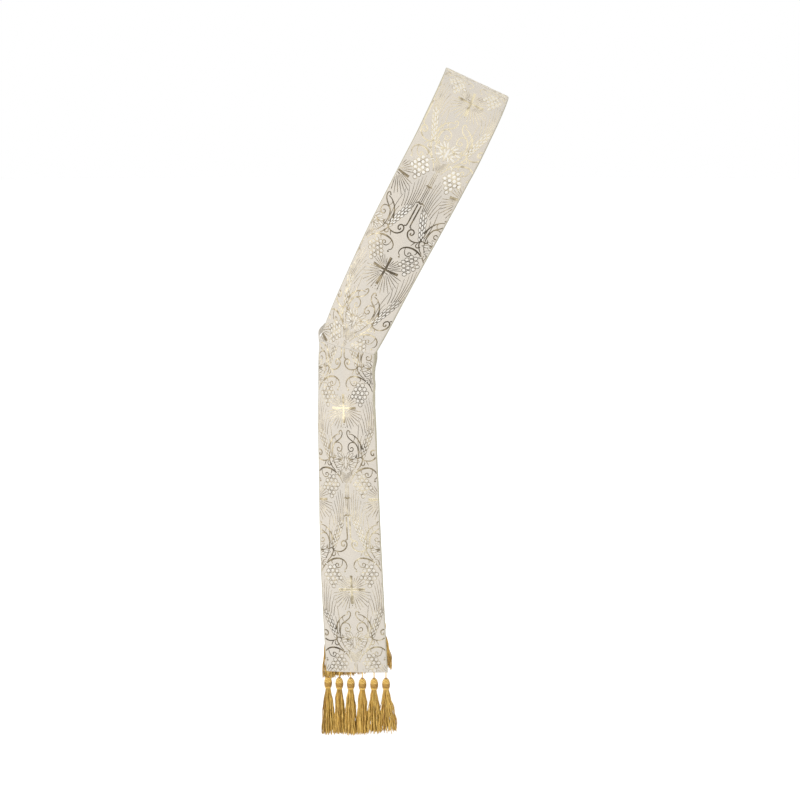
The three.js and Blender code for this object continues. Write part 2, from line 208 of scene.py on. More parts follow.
# Lines on one side of a column, mirrored on the other: their points as distance across and distance
# below the cross, and their widths at the start, the middle and the end
LINES = {
    "lyre_inner": (
        ((11.5, 45.5), (8.6, 42.4), (5.6, 44.6), (5.2, 50), (8.4, 56.4), (14.5, 61.6), (21, 65.8),
         (25.6, 73), (27.2, 84), (26.2, 95), (23, 106), (18.5, 114)), (1.4, 1.7, 1)),
    "lyre_outer": (
        ((9.6, 49), (17, 50.6), (25, 56.4), (31, 65), (34.8, 77), (35.8, 90), (33.8, 102),
         (28.5, 112), (22, 119)), (1, 2.4, 1.1)),
    "lyre_spur": (((20.4, 53), (21.2, 57.6), (18.4, 62)), (0.9, 1, 0.5)),
    "lyre_scroll": (
        ((25.4, 72), (21.5, 66.8), (15, 65.2), (9.2, 68), (6.5, 74), (7.8, 80), (12.2, 82.6),
         (16.4, 80.4), (16.8, 76.4), (13.6, 74.6), (11.4, 77)), (1, 1.5, 1.2)),
    "vine": (
        ((7.5, 143), (12.4, 132.6), (20, 123.6), (30, 117), (40, 114.2), (50, 115.2), (57.4, 120.4),
         (60.4, 127.4), (59.4, 133.4), (55.6, 136.2)), (0.9, 2.7, 1)),
    "vine_twig": (
        ((52.6, 117.4), (51.6, 124.4), (47.8, 130.8), (41.6, 132), (37.8, 128.2), (39.8, 124),
         (43.8, 124.8), (43.4, 128.4)), (0.8, 1.3, 1.2)),
    "tendril": (((14, 131.4), (11.4, 124.6), (13.4, 118.4), (18.6, 116.6)), (0.9, 1, 0.6)),
    "stalk": (((31, 117.4), (30.4, 121), (32.4, 124)), (1.4, 1.2, 0.9)),
    "stem_line": (((3.4, 209), (3.3, 230), (3.5, 250.4), (7.2, 253.8)), (1.8, 2.1, 1.6)),
    "stem_side": (((2.9, 146), (3.1, 165), (3, 190), (3.4, 203)), (0.7, 0.9, 0.8)),
    "knot_low": (((0.4, 206.6), (4.2, 204.6), (7.4, 208)), (2.6, 2, 0.7)),
    "knot_high": (((0.4, 173), (3.8, 170.8), (6.6, 173.4)), (2.2, 1.6, 0.6)),
    "volute": (
        ((36, 262), (34.4, 270), (27, 275), (16.5, 275.4), (8.6, 270.6), (4.8, 263), (6.6, 256.6),
         (11.8, 255), (15.8, 259), (14.4, 264.6), (10.4, 264.8), (10.6, 261.4)), (1.2, 2, 1.7)),
    "volute_curl": (((30.4, 275.6), (28.8, 280.6), (32.2, 284.4), (36.4, 282.4)), (0.9, 1.4, 1.5)),
    "volute_spur": (((25.4, 276), (21.4, 284.4)), (1.3, 1.1, 0.6)),
    "twig": (((36, 268), (42, 270.6), (48.4, 268.4), (55.6, 272.6), (62.6, 277)), (1.4, 1.8, 1.1)),
    "thorn_up": (((46.4, 268.8), (43.4, 262.4)), (1.5, 1.2, 0.5)),
    "thorn_down": (((52.6, 271), (54.4, 278)), (1.6, 1.2, 0.5)),
    "thorn_side": (((58, 274.4), (61.4, 269.4)), (1.4, 1.1, 0.5)),
    "sheath_outer": (((34, 271), (38.4, 256), (39.8, 239), (38.8, 222), (36.6, 206)), (1, 0.9, 0.5)),
    "sheath_middle": (((33.6, 268), (35.4, 254), (34.8, 240), (32.4, 228)), (0.8, 0.8, 0.5)),
    "sheath_inner": (((29.6, 268), (22, 251), (15.6, 235), (10.8, 221), (8.4, 206)), (0.8, 0.8, 0.5)),
    "cross_curl_above": (((2.6, -4.6), (6.6, -5.4)), (1.1, 1.1, 1.3)),
    "cross_curl_below": (((2.6, 5), (6.8, 5.6)), (1.1, 1.1, 1.3)),
}
CENTRE_LINES = {
    "cross_upright": (((0, -27), (0, -14), (0, 0), (0, 14), (0, 28)), (6.2, 4.4, 6.4)),
    "cross_beam": (((-25.5, 0), (-13, 0), (0, 0), (13, 0), (25.5, 0)), (5.8, 4.3, 5.8)),
    "stem_core": (((0, 128), (0, 150), (0, 176), (0, 204)), (0.7, 1.4, 1.6)),
}
# Round dots: across, below the cross, radius
DOTS = (
    (6.4, 34.4, 1.4), (11.6, 45.6, 1.7), (56, 139.6, 2.2), (7.4, -5.4, 1.3), (7.6, 5.7, 1.3),
    (36.8, 281.6, 1.6), (43.6, 127.6, 1.5), (10.6, 262, 1.5), (0, 31.4, 1.2), (2.6, 36.6, 0.9),
)
# Rays below and above the cross: how many, first and last angle from the beam, inner radius, and
# outer radii at the first, middle and last ray
RAYS_BELOW = (8, 11, 79, 10.5, (37, 45, 41))
RAYS_ABOVE = (6, 20, 73, 10, (30, 34, 27))
RAY_WIDTHS = (0.7, 1.45, 0.9)
RAY_POINTS = 9
# How much further out every other ray starts and ends
RAY_STAGGER = (1.5, -3)
# Awns of an ear of wheat: root and tip, both as across and below
AWNS = (
    ((29, 226), (37, 196)), ((24.6, 222), (32.2, 187)), ((20.6, 219), (27.4, 177)),
    ((17.6, 217), (22.8, 168)), ((15, 216), (18.8, 160)), ((12, 216.6), (14, 156)),
    ((9.4, 218), (9.4, 163)),
)
# How far the middle of an awn curves aside, and the spacing of its points
AWN_CURVE = 1.6
AWN_STEP = 3.75
AWN_WIDTHS = (1.3, 1.05, 0.6)
# Fine hatching below the palmette, rising outward from the middle: how many strokes a side, distance
# below the cross of the first, distance between two, how far across the first and the last reach,
# rise per millimetre across and width. HATCHING_START is how far from the middle they begin.
HATCHING = (11, 125.5, 1.7, (13.5, 4.5), 0.55, 0.6)
HATCHING_START = 1.3
HATCHING_POINTS = 5
# The ear: top and foot of its middle line, kernels in a row, distance between the rows, and a
# kernel's half width and half length
EAR_TOP = (14.4, 219)
EAR_FOOT = (32.6, 266)
EAR_KERNELS = 6
EAR_ROW = 4.4
# How much closer the outer rows stand at the foot, and how far above its middle the ear is widest, as
# shares
EAR_NARROWING = 0.28
EAR_BELLY = 0.18
KERNEL = (1.95, 4.7)
KERNEL_LEAN = 14
# A bunch of grapes: the middle of each one, across and below, and its radius
GRAPES = (
    (26.8, 131.2), (35.6, 130.4), (22.6, 138.8), (31.6, 137.8), (40.2, 138.6), (17.6, 146), (27, 146.4),
    (35.4, 145), (44.4, 145.6), (21.8, 153.6), (31.4, 153.8), (40, 152.8), (27.6, 161.6), (36.4, 160.8),
    (32, 168.6), (47.6, 152.4),
)
GRAPE_RADIUS = 3.7
# Leaves of the palmette, drawn in outline: across, below, half width, half length, lean from upright
LEAVES = (
    (5.4, 89.4, 2, 7, 24), (11, 90.6, 2.1, 7.4, 46), (17, 94.2, 2.1, 7.4, 66), (19.6, 100.8, 2.4, 9, 96),
    (12, 104.6, 2.2, 7, 62), (13.6, 110.6, 2.3, 7.6, 112), (6.6, 113.6, 2, 6.2, 150), (6, 101, 1.8, 6.4, 30),
    (19.4, 124.6, 1.8, 5, 130),
)
CENTRE_LEAVES = ((0, 106, 3.4, 13.6), (0, 108, 1.6, 8.4))
# Pads: points round, how pointed the ends are, material slot, rise and width of the line round them
PADS = {
    "dot": (8, 1, 0, FIGURE_HEIGHT, None), "kernel": (12, 1.25, 1, 0.42, 0.95),
    "grape": (14, 1, 1, 0.42, 1.2), "leaf": (16, 1.35, 1, 0.25, 0.9), "centre_leaf": (20, 1.35, 1, 0.25, 0.9),
}
# A pad's inner ring, as a share of the outline and of the rise
PAD_RING = (0.55, 0.8)

# Tassels
TASSEL_INSET = 3.5
# The first seed of the back's tassels. The front's start at 0.
BACK_SEED = 100
CORD_LENGTH = 12
# How far a cord reaches into the hem and into the head
CORD_TUCKS = (1.2, 3)
CORD_TURNS = 2.6
CORD_TWIST_RADIUS = 0.62
CORD_STRAND_RADIUS = 0.6
CORD_STEPS = 36
CORD_SIDES = 7
# Where the two strands lie in the yarn's noise
CORD_SHADES = (5, 8)
HEAD_LENGTH = 23
HEAD_RADIUS = 7.2
SKIRT_FLATTENING = 0.82
# The head's shape from the pit round the cord down to the neck: shares of its length and radius
HEAD_PROFILE = ((0.2, 0.2), (0.08, 0.28), (0.015, 0.37), (0, 0.46), (0.04, 0.6), (0.13, 0.78), (0.25, 0.92),
                (0.4, 1), (0.56, 1.02), (0.7, 0.97), (0.79, 0.87), (0.85, 0.74))
HEAD_SIDES = 60
HEAD_STEP = 0.42
# The slanting turns of yarn round a head: how many run side by side, how far apart and how high
WINDING_STARTS = 5
WINDING_PITCH = 2.9
WINDING_HEIGHT = 1.5
# How sharp the grooves between the turns are, and the share of a turn that lies below the core
WINDING_SHAPE = (0.7, 0.6)
# The radii where the turns begin to stand out and where they have their full height
WINDING_START = (2, 5)
# Where a turn lies lower than this it takes the dark yarn, painted shade in the grooves: outside the browner
# band and inside it
GROOVE_DEPTH = (-0.2, 0.36)
# Where the head's browner band begins and ends below its top
HEAD_BAND = (8.6, 17.2)
# Rings of yarn, two round the neck and the knot in the pit: distance below the cord's end, radius,
# half the yarn's thickness, how far it rises and falls, and which yarn it is. The knot is of the dark
# yarn, painted shade in the pit.
RINGS = ((19.15, 5.75, 1.05, 0.3, 0), (20.95, 5.1, 0.85, 0.3, 0), (-0.5, 1.6, 1.3, 0.1, 2))
RING_STEPS = 37
RING_SIDES = 8
# The largest angle that turns a ring's rise, and the step in the yarn's noise for each radian of it
RING_PHASES = 6
RING_SHADES = 3
# Skirts of the six tassels: length, lean to the wearer's left and spread
SKIRTS = ((90, 0.4, 1.1), (88, 0.8, 0.84), (89, -0.8, 1.06), (87, 0, 0.9), (84, 0.4, 1.22), (80, 3.8, 1.45))
# The radius of a skirt of spread 1, by share of its length, and the share where it has its full spread
SKIRT_FLARE = ((0, 0.06, 0.18, 0.35, 0.7, 1), (4, 4.9, 7.2, 9.3, 11.4, 12.8))
SPREAD_FADE = 0.75
PLIES = 54
THREADS_PER_PLY = 6
PLY_RADIUS = 1.05
# How far open a ply is at its top and at its foot
PLY_OPENING = (0.6, 1)
PLY_TURNS = (1.2, 2.6)
GOLDEN_ANGLE = 2.39996
# How far a ply strays from its angle, and how it waves: size, turns and the share where it is in full
PLY_STRAY = 0.15
WAVE_SIZES = (0.4, 1)
WAVE_TURNS = (1.2, 3.2)
WAVE_FADE = 0.3
# How much plies and threads differ in length, how far above the head's foot threads start, and how
# much longer than the ply's reach they are
PLY_LENGTHS = 1.2
THREAD_LENGTHS = 0.8
THREAD_TUCK = 3
THREAD_EXTRA = 2
THREAD_RADIUS = 0.5
THREAD_TIP = 0.45
THREAD_SIDES = 3
THREAD_STEPS = 14
THREAD_DOWN = np.linspace(0, 1, THREAD_STEPS)
# How often a ply is of the light, the middle and the dark yarn, the tones of painted highlight and
# painted shade, and how many threads are of their own
YARN_SHARES = (0.46, 0.38, 0.16)
ODD_THREADS = 0.55
# The stretch of the yarn's noise in which a skirt's threads lie
NOISE_SPAN = 200
# A direction that no tube runs along
TUBE_SIDE = (0.31, 0.95, 0.05)

# Tab at the hip
TAB_HEIGHT = 12
TAB_THICKNESS = 1.6
TAB_BULGE = 5
TAB_TUCK = 14
TAB_LEAD = 3
TAB_CLEARANCE = 0.8
TAB_STEP = 2
TAB_SIDES = 28
# Less than 1 makes the tab's faces flatter
TAB_ROUNDNESS = 0.4
# Its gathers: size, and radians for each millimetre up and along
TAB_GATHERS = ((0.25, 1.6, 0.05), (0.15, 0, 0.2))

# Studio, in metres
FLOOR_HEIGHT = -1.4
FLOOR_RADIUS = 30
FLOOR_SIDES = 96
WORLD_LIGHT = 0.62
WORLD_IN_REFLECTIONS = 0.85
WORLD_AS_BACKDROP = 1
KEY_STRENGTH = 1.95
KEY_WIDTH = 50
KEY_TURN = (34, 0, -24)
# Cards that only reflections see: name, left and right, then the distance back and the height of the
# first and the last edge, and brightness
CARD_FOOT = FLOOR_HEIGHT + 0.05
CARDS = (
    ("front_card", (-1.9, 1.9), (-4.2, -4.2), (CARD_FOOT, 0.75), 0.8),
    ("back_card", (-1.9, 1.9), (4.2, 4.2), (CARD_FOOT, 0.75), 0.8),
    ("low_card", (-1.5, 1.6), (-4, -0.7), (CARD_FOOT, CARD_FOOT), 0.45),
)
# Softboxes: name, place, what it aims at, width and height, power and whether reflections show it
SOFTBOXES = (
    ("left_light", (-3, -1.6, 0.3), (-0.2, 0, -0.5), (1.4, 2.4), 14, True),
    ("right_light", (3, -1.2, 0.3), (-0.1, 0, -0.5), (1.4, 2.4), 8, True),
    ("rear_light", (0, 3, 1.4), (-0.1, 0, -0.5), (2.4, 1.6), 34, False),
)

# Colours as linear red, green and blue
GROUND_COLOURS = ((0.592, 0.543, 0.472), (0.567, 0.527, 0.466))
SLUB_COLOUR = (0.50, 0.457, 0.395)
# The metal thread's colour in a dark, a middle and a bright zone of painted reflection: the dark and the
# bright colour stand in for what the thread mirrors
GOLD_PAINTED_REFLECTIONS = ((0.135, 0.11, 0.077), (0.42, 0.345, 0.225), (0.98, 0.87, 0.62))
# The pads' satin: its own plain colour, and the whiter colour that painted sheen brings it to
PLAIN_PADS = ((0.605, 0.56, 0.487), (0.55, 0.51, 0.443))
WHITE_AND_SHEEN_PADS = ((0.80, 0.775, 0.725), (0.73, 0.70, 0.65))
# The lining's olive beige, darkened as painted shade for the edges that turn away
LINING_AND_PAINTED_SHADE = ((0.44, 0.405, 0.30), (0.40, 0.365, 0.27))
# Three tones of one gold yarn, taken from its lit, middle and shaded parts: the light yarn is partly painted
# highlight and the dark yarn painted shade
YARNS = (
    ("painted_highlight_yarn", (0.80, 0.54, 0.145), (0.68, 0.43, 0.095)),
    ("middle_yarn", (0.60, 0.365, 0.07), (0.48, 0.27, 0.045)),
    ("painted_shade_yarn", (0.32, 0.165, 0.028), (0.23, 0.11, 0.018)),
)
FLOOR_COLOUR = (0.95, 0.95, 0.95, 1)
WHITE = (1, 1, 1, 1)
BLACK = (0, 0, 0, 1)


def add_object(name, data):
    thing = bpy.data.objects.new(name, data)
    bpy.context.scene.collection.objects.link(thing)
    return thing


def make_camera():
    lens = bpy.data.cameras.new("camera")
    lens.lens = CAMERA_LENS
    lens.sensor_width = CAMERA_SENSOR
    holder = add_object("camera", lens)
    holder.location = CAMERA_PLACE
    holder.rotation_euler = (math.radians(CAMERA_PITCH), 0, 0)
    bpy.context.scene.camera = holder


# Small mathematics

def smoothstep(value, low, high):
    share = np.clip((value - low) / (high - low), 0, 1)
    return share * share * (3 - 2 * share)


def read_column(places, values, at):
    """A smooth curve through the values at the given places, read at an array of places."""
    places, values, at = (np.asarray(x, float) for x in (places, values, at))
    spans = np.diff(places)
    slopes = np.diff(values) / spans
    tangents = np.empty_like(values)
    tangents[0], tangents[-1] = slopes[0], slopes[-1]
    tangents[1:-1] = (slopes[:-1] * spans[1:] + slopes[1:] * spans[:-1]) / (spans[:-1] + spans[1:])
    i = np.clip(np.searchsorted(places, at) - 1, 0, len(spans) - 1)
    t = (at - places[i]) / spans[i]
    return ((2 * t**3 - 3 * t**2 + 1) * values[i] + (t**3 - 2 * t**2 + t) * spans[i] * tangents[i]
            + (-2 * t**3 + 3 * t**2) * values[i + 1] + (t**3 - t**2) * spans[i] * tangents[i + 1])


def unit(vectors):
    return vectors / np.linalg.norm(vectors, axis=-1, keepdims=True)


def distances(points):
    """How far along a line each of its points lies."""
    return np.concatenate(((0,), np.cumsum(np.linalg.norm(np.diff(points, axis=0), axis=1))))


def together(*arrays):
    return np.stack(np.broadcast_arrays(*arrays), -1)


def spline(points, spacing):
    """Points about spacing apart along a smooth curve through the given ones."""
    points = np.asarray(points, float)
    padded = np.vstack((2 * points[0] - points[1], points, 2 * points[-1] - points[-2]))
    curve = []
    for a, b, c, d in zip(padded, padded[1:], padded[2:], padded[3:]):
        steps = max(1, round(np.linalg.norm(c - b) / spacing))
        t = (np.arange(steps) / steps)[:, None]
        curve.append(0.5 * (2 * b + (c - a) * t + (2 * a - 5 * b + 4 * c - d) * t**2
                            + (3 * b - a - 3 * c + d) * t**3))
    return np.vstack((*curve, points[-1:]))


# Meshes

class Parts:
    """Points, faces and their cloth coordinates, gathered for one mesh."""

    def __init__(self):
        self.points, self.places, self.painted_lights = [], [], []
        self.faces, self.slots, self.smooth = [], [], []
        self.count = 0

    def add(self, points, faces, places, slot=0, smooth=True, painted_light=0.5):
        self.add_faces(np.asarray(faces) + self.count, slot, smooth)
        self.points.append(points.reshape(-1, 3))
        self.places.append(places.reshape(-1, 2))
        self.painted_lights.append(np.broadcast_to(painted_light, len(self.points[-1])))
        self.count += len(self.points[-1])

    def add_faces(self, faces, slot=0, smooth=False):
        """Faces between points that are numbered as in the whole mesh."""
        self.faces.append(faces)
        self.slots.append(np.broadcast_to(slot, len(faces)))
        self.smooth.append(np.broadcast_to(smooth, len(faces)))


def add_mesh(name, parts, materials, flip=False):
    """The object of the gathered parts. flip turns every face over."""
    points = np.vstack(parts.points) / 1000
    faces = [face[::-1].tolist() if flip else face.tolist() for group in parts.faces for face in group]
    mesh = bpy.data.meshes.new(name)
    mesh.from_pydata(points.tolist(), [], faces)
    for material in materials:
        mesh.materials.append(material)
    mesh.polygons.foreach_set("material_index", np.concatenate(parts.slots).astype(np.int32))
    mesh.polygons.foreach_set("use_smooth", np.concatenate(parts.smooth).astype(bool))
    corners = np.empty(len(mesh.loops), np.int32)
    mesh.loops.foreach_get("vertex_index", corners)
    # The second UV layer holds the painted light of the figures: painted reflection on the metal thread,
    # painted sheen on the pads
    painted_light = np.concatenate(parts.painted_lights)
    for layer, values in (("cloth", np.vstack(parts.places)), ("painted_light", together(painted_light, painted_light))):
        uv = mesh.uv_layers.new(name=layer)
        uv.data.foreach_set("uv", values[corners].astype(np.float32).ravel())
    mesh.validate()
    return add_object(name, mesh)


def grid_faces(rows, columns, closed=False):
    """Quads between the points of a grid, with its last column joined to the first if closed."""
    i = np.arange(rows - 1)[:, None]
    j = np.arange(columns if closed else columns - 1)[None, :]
    k = (j + 1) % columns
    near, far = i * columns, (i + 1) * columns
    return together(near + j, far + j, far + k, near + k).reshape(-1, 4)


# The cloth

class Panel:
    """One panel of the stole, which turns places on the flat cloth into points in space."""

    def __init__(self, name, path, widths, is_back, hip_last, puckers, folds, facings, weave):
        self.name = name
        self.is_back = is_back
        self.has_hem = not hip_last
        self.puckers, self.folds, self.facings = puckers, folds, facings
        # The last two of the weave are the zones of painted reflection on the metal thread and of whiteness
        # and painted sheen on the pads
        self.grain, self.sag, self.row_tilt, self.gleam, self.white = weave
        drop, aside, reach, *shape = np.array(path, float).T
        at, *offsets = np.array(BACK_OFFSETS, float).T
        lift, left, outward = (read_column(at, column, drop) * is_back for column in offsets)
        middles = together(left - aside, -reach - outward - SEAM_GAP / 2, lift - drop)
        places = distances(middles)
        self.length = places[-1]
        self.at = np.linspace(0, self.length, round(self.length / SECTION_STEP) + 1)
        middle = together(*(read_column(places, column, self.at) for column in middles.T))
        turn, tilt, self.bow, spread = (read_column(places, column, self.at) for column in shape)
        turn, self.tilt = np.radians(turn), np.radians(tilt)
        across = together(
            np.cos(turn) * np.cos(self.tilt), -np.sin(turn) * np.cos(self.tilt), -np.sin(self.tilt))
        facing = together(-np.sin(turn), -np.cos(turn), 0)
        to_hip = self.length - self.at if hip_last else self.at
        seam_share = (1 - smoothstep(to_hip, 0, HIP_BLEND))[:, None]
        normal = unit(np.cross(unit(np.gradient(middle, axis=0)), across))
        normal = unit(normal * (1 - seam_share) + facing * seam_share)
        self.width = np.interp(self.at, (0, self.length), widths) * spread
        # The straight width under a low arc
        self.chord = self.width * (1 - (8 / 3) * (self.bow / self.width) ** 2)
        self.frames = np.hstack((middle, across, normal))

    def width_at(self, down):
        return np.interp(down, self.at, self.width)

    def lift(self, down, share):
        """How far puckers and soft folds raise the cloth."""
        rise = np.zeros(np.broadcast(down, share).shape)
        for at, fade, side, height in self.puckers:
            outward = smoothstep(share * side, PUCKER_START, 1)
            rise = rise + height * np.exp(-(((down - at) / fade) ** 2)) * outward
        soft = np.zeros_like(rise)
        for at, middle, fade, breadth, slant, height in self.folds:
            along = (down - at - slant * share * HIP_WIDTH / 2) / fade
            soft = soft + height * np.exp(-(along**2) - ((share - middle) / breadth) ** 2)
        return rise + soft * smoothstep(down, 0, FOLD_FADE) * smoothstep(self.length - down, 0, FOLD_FADE)

    def place(self, down, across, height):
        """Points for places on the cloth: distance down, distance across and height over its inner face."""
        down, across, height = np.broadcast_arrays(down, across, height)
        share = across / (self.width_at(down) / 2)
        frames = np.stack([np.interp(down, self.at, column) for column in self.frames.T], -1)
        middle, sideways, normal = np.split(frames, 3, -1)
        crown = np.interp(down, self.at, self.bow) * (1 - share**2) + self.lift(down, share) + height
        chord = np.interp(down, self.at, self.chord)
        points = middle + sideways * (chord / 2 * share)[..., None] + normal * crown[..., None]
        if self.is_back:
            points = points * (1, -1, 1)
        return points

    def woven_at(self, figure, column):
        """Where a figure of one column lies on the panel: its points as distance across and down."""
        along, down, drift = np.array(self.grain, float).T
        across = figure[:, 0] + column * COLUMN_SPACING + np.interp(figure[:, 1], along, drift)
        place = np.interp(figure[:, 1], along, down)
        aslant = math.radians(self.row_tilt) - np.interp(place, self.at, self.tilt)
        place = place + across * np.tan(aslant) - self.sag * (across / (HIP_WIDTH / 2)) ** 2
        return together(across, place)

    def facing_width(self, down, side):
        """How wide the lining shows at one edge, side -1 at the wearer's right and 1 at the left."""
        table = np.array(self.facings[0 if side < 0 else 1], float)
        plain = np.interp(down, table[:, 0], table[:, 1])
        waves = sum(size * np.sin(2 * np.pi * down / length) for length, size in FACING_WAVES)
        return plain + waves * np.clip((plain - PLAIN_FACING[0][1]) / WAVES_FADE, 0, 1)

    def add_cloth(self, brocade, lining):
        """The panel's shell: brocade outside, lining inside and round the edges."""
        top, foot = np.array(SEAM_ROUNDING), np.array(HEM_ROUNDING if self.has_hem else SEAM_ROUNDING)
        inside = np.linspace(top[-1, 0], self.length - foot[-1, 0], round(self.length / ROW_STEP))
        down = np.concatenate((top[:-1, 0], inside, (self.length - foot[:-1, 0])[::-1]))[:, None]
        fullness = np.minimum(np.interp(down, *top.T), np.interp(self.length - down, *foot.T))
        half = self.width_at(down) / 2
        left, right = (self.facing_width(down, side) for side in (-1, 1))
        shares = np.linspace(0, 1, COLUMNS)
        outer = -(half - left) + (2 * half - left - right) * shares
        step = EDGE_RADIUS / 2
        low = CLOTH_THICKNESS - FACING_STEP
        angles = np.radians(np.linspace(90, -90, EDGE_STEPS + 1))
        round_out, round_up = EDGE_RADIUS * np.cos(angles), low / 2 * (1 + np.sin(angles))
        core = half - EDGE_RADIUS
        lead = (1 - shares) * -core + shares * core
        across = np.hstack((outer, half - right + step, core + round_out, lead[:, ::-1][:, 1:-1],
                            -core - round_out[::-1], -(half - left + step)))
        height = np.hstack((np.full(COLUMNS, CLOTH_THICKNESS), low, round_up, np.zeros(COLUMNS - 2),
                            round_up[::-1], low)) * np.ones_like(down)
        middle_height = CLOTH_THICKNESS / 2
        height = middle_height + (height - middle_height) * fullness
        columns = across.shape[1]
        slots = np.where(np.arange(columns) < COLUMNS - 1, 0, 1)
        parts = Parts()
        parts.add(self.place(down, across, height), grid_faces(len(down), columns, closed=True),
                  together(across, down), np.tile(slots, len(down) - 1))
        # Strips across both ends, between the outer points and the inner ones that lie behind them
        half_round = EDGE_STEPS // 2 + 1
        order = [(i % columns, (2 * COLUMNS + EDGE_STEPS - i) % columns)
                 for i in range(-half_round, COLUMNS + half_round)]
        ends = []
        last = (len(down) - 1) * columns
        for (a, b), (c, d) in zip(order, order[1:]):
            ring = [a, c, d, b] if a != b and c != d else [a, c, d] if a == b else [a, c, b]
            ends += [np.array(ring), last + np.array(ring[::-1])]
        parts.add_faces(ends, 1)
        return add_mesh(self.name + "_cloth", parts, (brocade, lining), flip=self.is_back)


# The woven figures

def shade(zones, down, across):
    """The painted light that the zones give a place: how bright the metal thread's painted reflection is, or
    for the pads how white they are, partly by painted sheen.
    """
    total, ovals = zones
    for at, middle, reach_down, reach_across, change in ovals:
        away = ((down - at) / reach_down) ** 2 + ((across - middle) / reach_across) ** 2
        total = total + change * np.exp(-away)
    return np.clip(total, 0, MOST_PAINTED_LIGHT)


def ribbon_rows(line, widths, closed=False):
    """Four rails along a line in the flat cloth, and the height of each: a low ridge with sloping sides."""
    if closed:
        along = np.roll(line, -1, 0) - np.roll(line, 1, 0)
    else:
        line = np.vstack((line[0], line, line[-1]))
        widths = np.concatenate((widths[:1], widths, widths[-1:]))
        along = np.gradient(line, axis=0)
        line[0] -= unit(along[1]) * STROKE_END
        line[-1] += unit(along[-2]) * STROKE_END
        along[0], along[-1] = along[1], along[-2]
    sideways = unit(along[:, ::-1] * (-1, 1))
    rails = np.array((-1, -STROKE_TOP, STROKE_TOP, 1))
    flat = line[:, None, :] + sideways[:, None, :] * rails[None, :, None] * widths[:, None, None] / 2
    height = np.tile((FIGURE_BASE, FIGURE_HEIGHT, FIGURE_HEIGHT, FIGURE_BASE), (len(line), 1)).astype(float)
    if not closed:
        height[[0, -1]] = FIGURE_BASE
    return flat, height


def widths_along(line, widths):
    """Widths for every point of a line from those at its start, middle and end."""
    steps = distances(line)
    return np.interp(steps / steps[-1], HALVES, widths)


def oval(middle, half_width, half_length, lean, points, sharpness):
    """A closed oval round its middle, pointed at both ends where sharpness is above 1."""
    angle = np.linspace(0, 2 * np.pi, points, endpoint=False)
    side = half_width * np.sign(np.sin(angle)) * np.abs(np.sin(angle)) ** sharpness
    end = -half_length * np.cos(angle)
    turn = math.radians(lean)
    x = side * math.cos(turn) - end * math.sin(turn)
    y = side * math.sin(turn) + end * math.cos(turn)
    return together(middle[0] + x, middle[1] + y)


def kernel_places():
    """The middles of an ear's kernels, and how each leans."""
    top, foot = np.array(EAR_TOP, float), np.array(EAR_FOOT, float)
    axis = unit(foot - top)
    side = np.array((axis[1], -axis[0]))
    lean = math.degrees(math.atan2(-axis[0], axis[1]))
    for row in (-1, 0, 1):
        for i in range(EAR_KERNELS):
            share = (i + 0.5 * abs(row)) / (EAR_KERNELS - 0.5)
            narrow = 1 - EAR_NARROWING * (1 - math.sin(math.pi * min(1, share + EAR_BELLY)))
            yield top + (foot - top) * share + side * row * EAR_ROW * narrow, lean + row * KERNEL_LEAN


def column_figures():
    """Every figure of one repeat of one column: (kind, line, widths), where pads have no widths."""
    figures = []

    def stroke(line, widths):
        figures.append(("stroke", line, widths_along(line, widths)))

    def pad(kind, middle, breadth, length, lean=0, flip=1):
        figures.append((kind, oval(middle, breadth, length, lean, *PADS[kind][:2]) * flip, None))

    for side in (-1, 1):
        flip = np.array((side, 1))
        for points, widths in LINES.values():
            stroke(spline(points, STROKE_STEP) * flip, np.multiply(widths, LINE_WEIGHT))
        for (count, first, last, inner, radii), down in ((RAYS_BELOW, 1), (RAYS_ABOVE, -1)):
            for i in range(count):
                share = i / (count - 1)
                angle = math.radians(first + (last - first) * share)
                start = inner + RAY_STAGGER[0] * (i % 2)
                stop = np.interp(share, HALVES, radii) + RAY_STAGGER[1] * (i % 2)
                direction = np.array((math.cos(angle) * side, math.sin(angle) * down))
                stroke(direction * np.linspace(start, stop, RAY_POINTS)[:, None], RAY_WIDTHS)
        for root, tip in AWNS:
            middle = (np.array(root, float) + tip) / 2 - (AWN_CURVE, 0)
            stroke(spline((root, middle, tip), AWN_STEP) * flip, AWN_WIDTHS)
        count, first, spacing, reaches, rise, width = HATCHING
        for i in range(count):
            reach = np.interp(i, (0, count - 1), reaches)
            start = np.array((HATCHING_START, first + spacing * i))
            stroke(np.linspace(start, start + (reach, -reach * rise), HATCHING_POINTS) * flip, (width,) * 3)
        for across, down, radius in DOTS:
            pad("dot", (across * side, down), radius, radius)
        for middle, lean in kernel_places():
            pad("kernel", middle, *KERNEL, lean, flip)
        for middle in GRAPES:
            pad("grape", middle, GRAPE_RADIUS, GRAPE_RADIUS, 0, flip)
        for *middle, breadth, length, lean in LEAVES:
            pad("leaf", middle, breadth, length, lean, flip)
    for points, widths in CENTRE_LINES.values():
        line = spline(points, STROKE_STEP)
        figures.append(("stroke", line, np.interp(np.linspace(0, 1, len(line)), HALVES, widths)))
    for *middle, breadth, length in CENTRE_LEAVES:
        pad("centre_leaf", middle, breadth, length)
    return figures


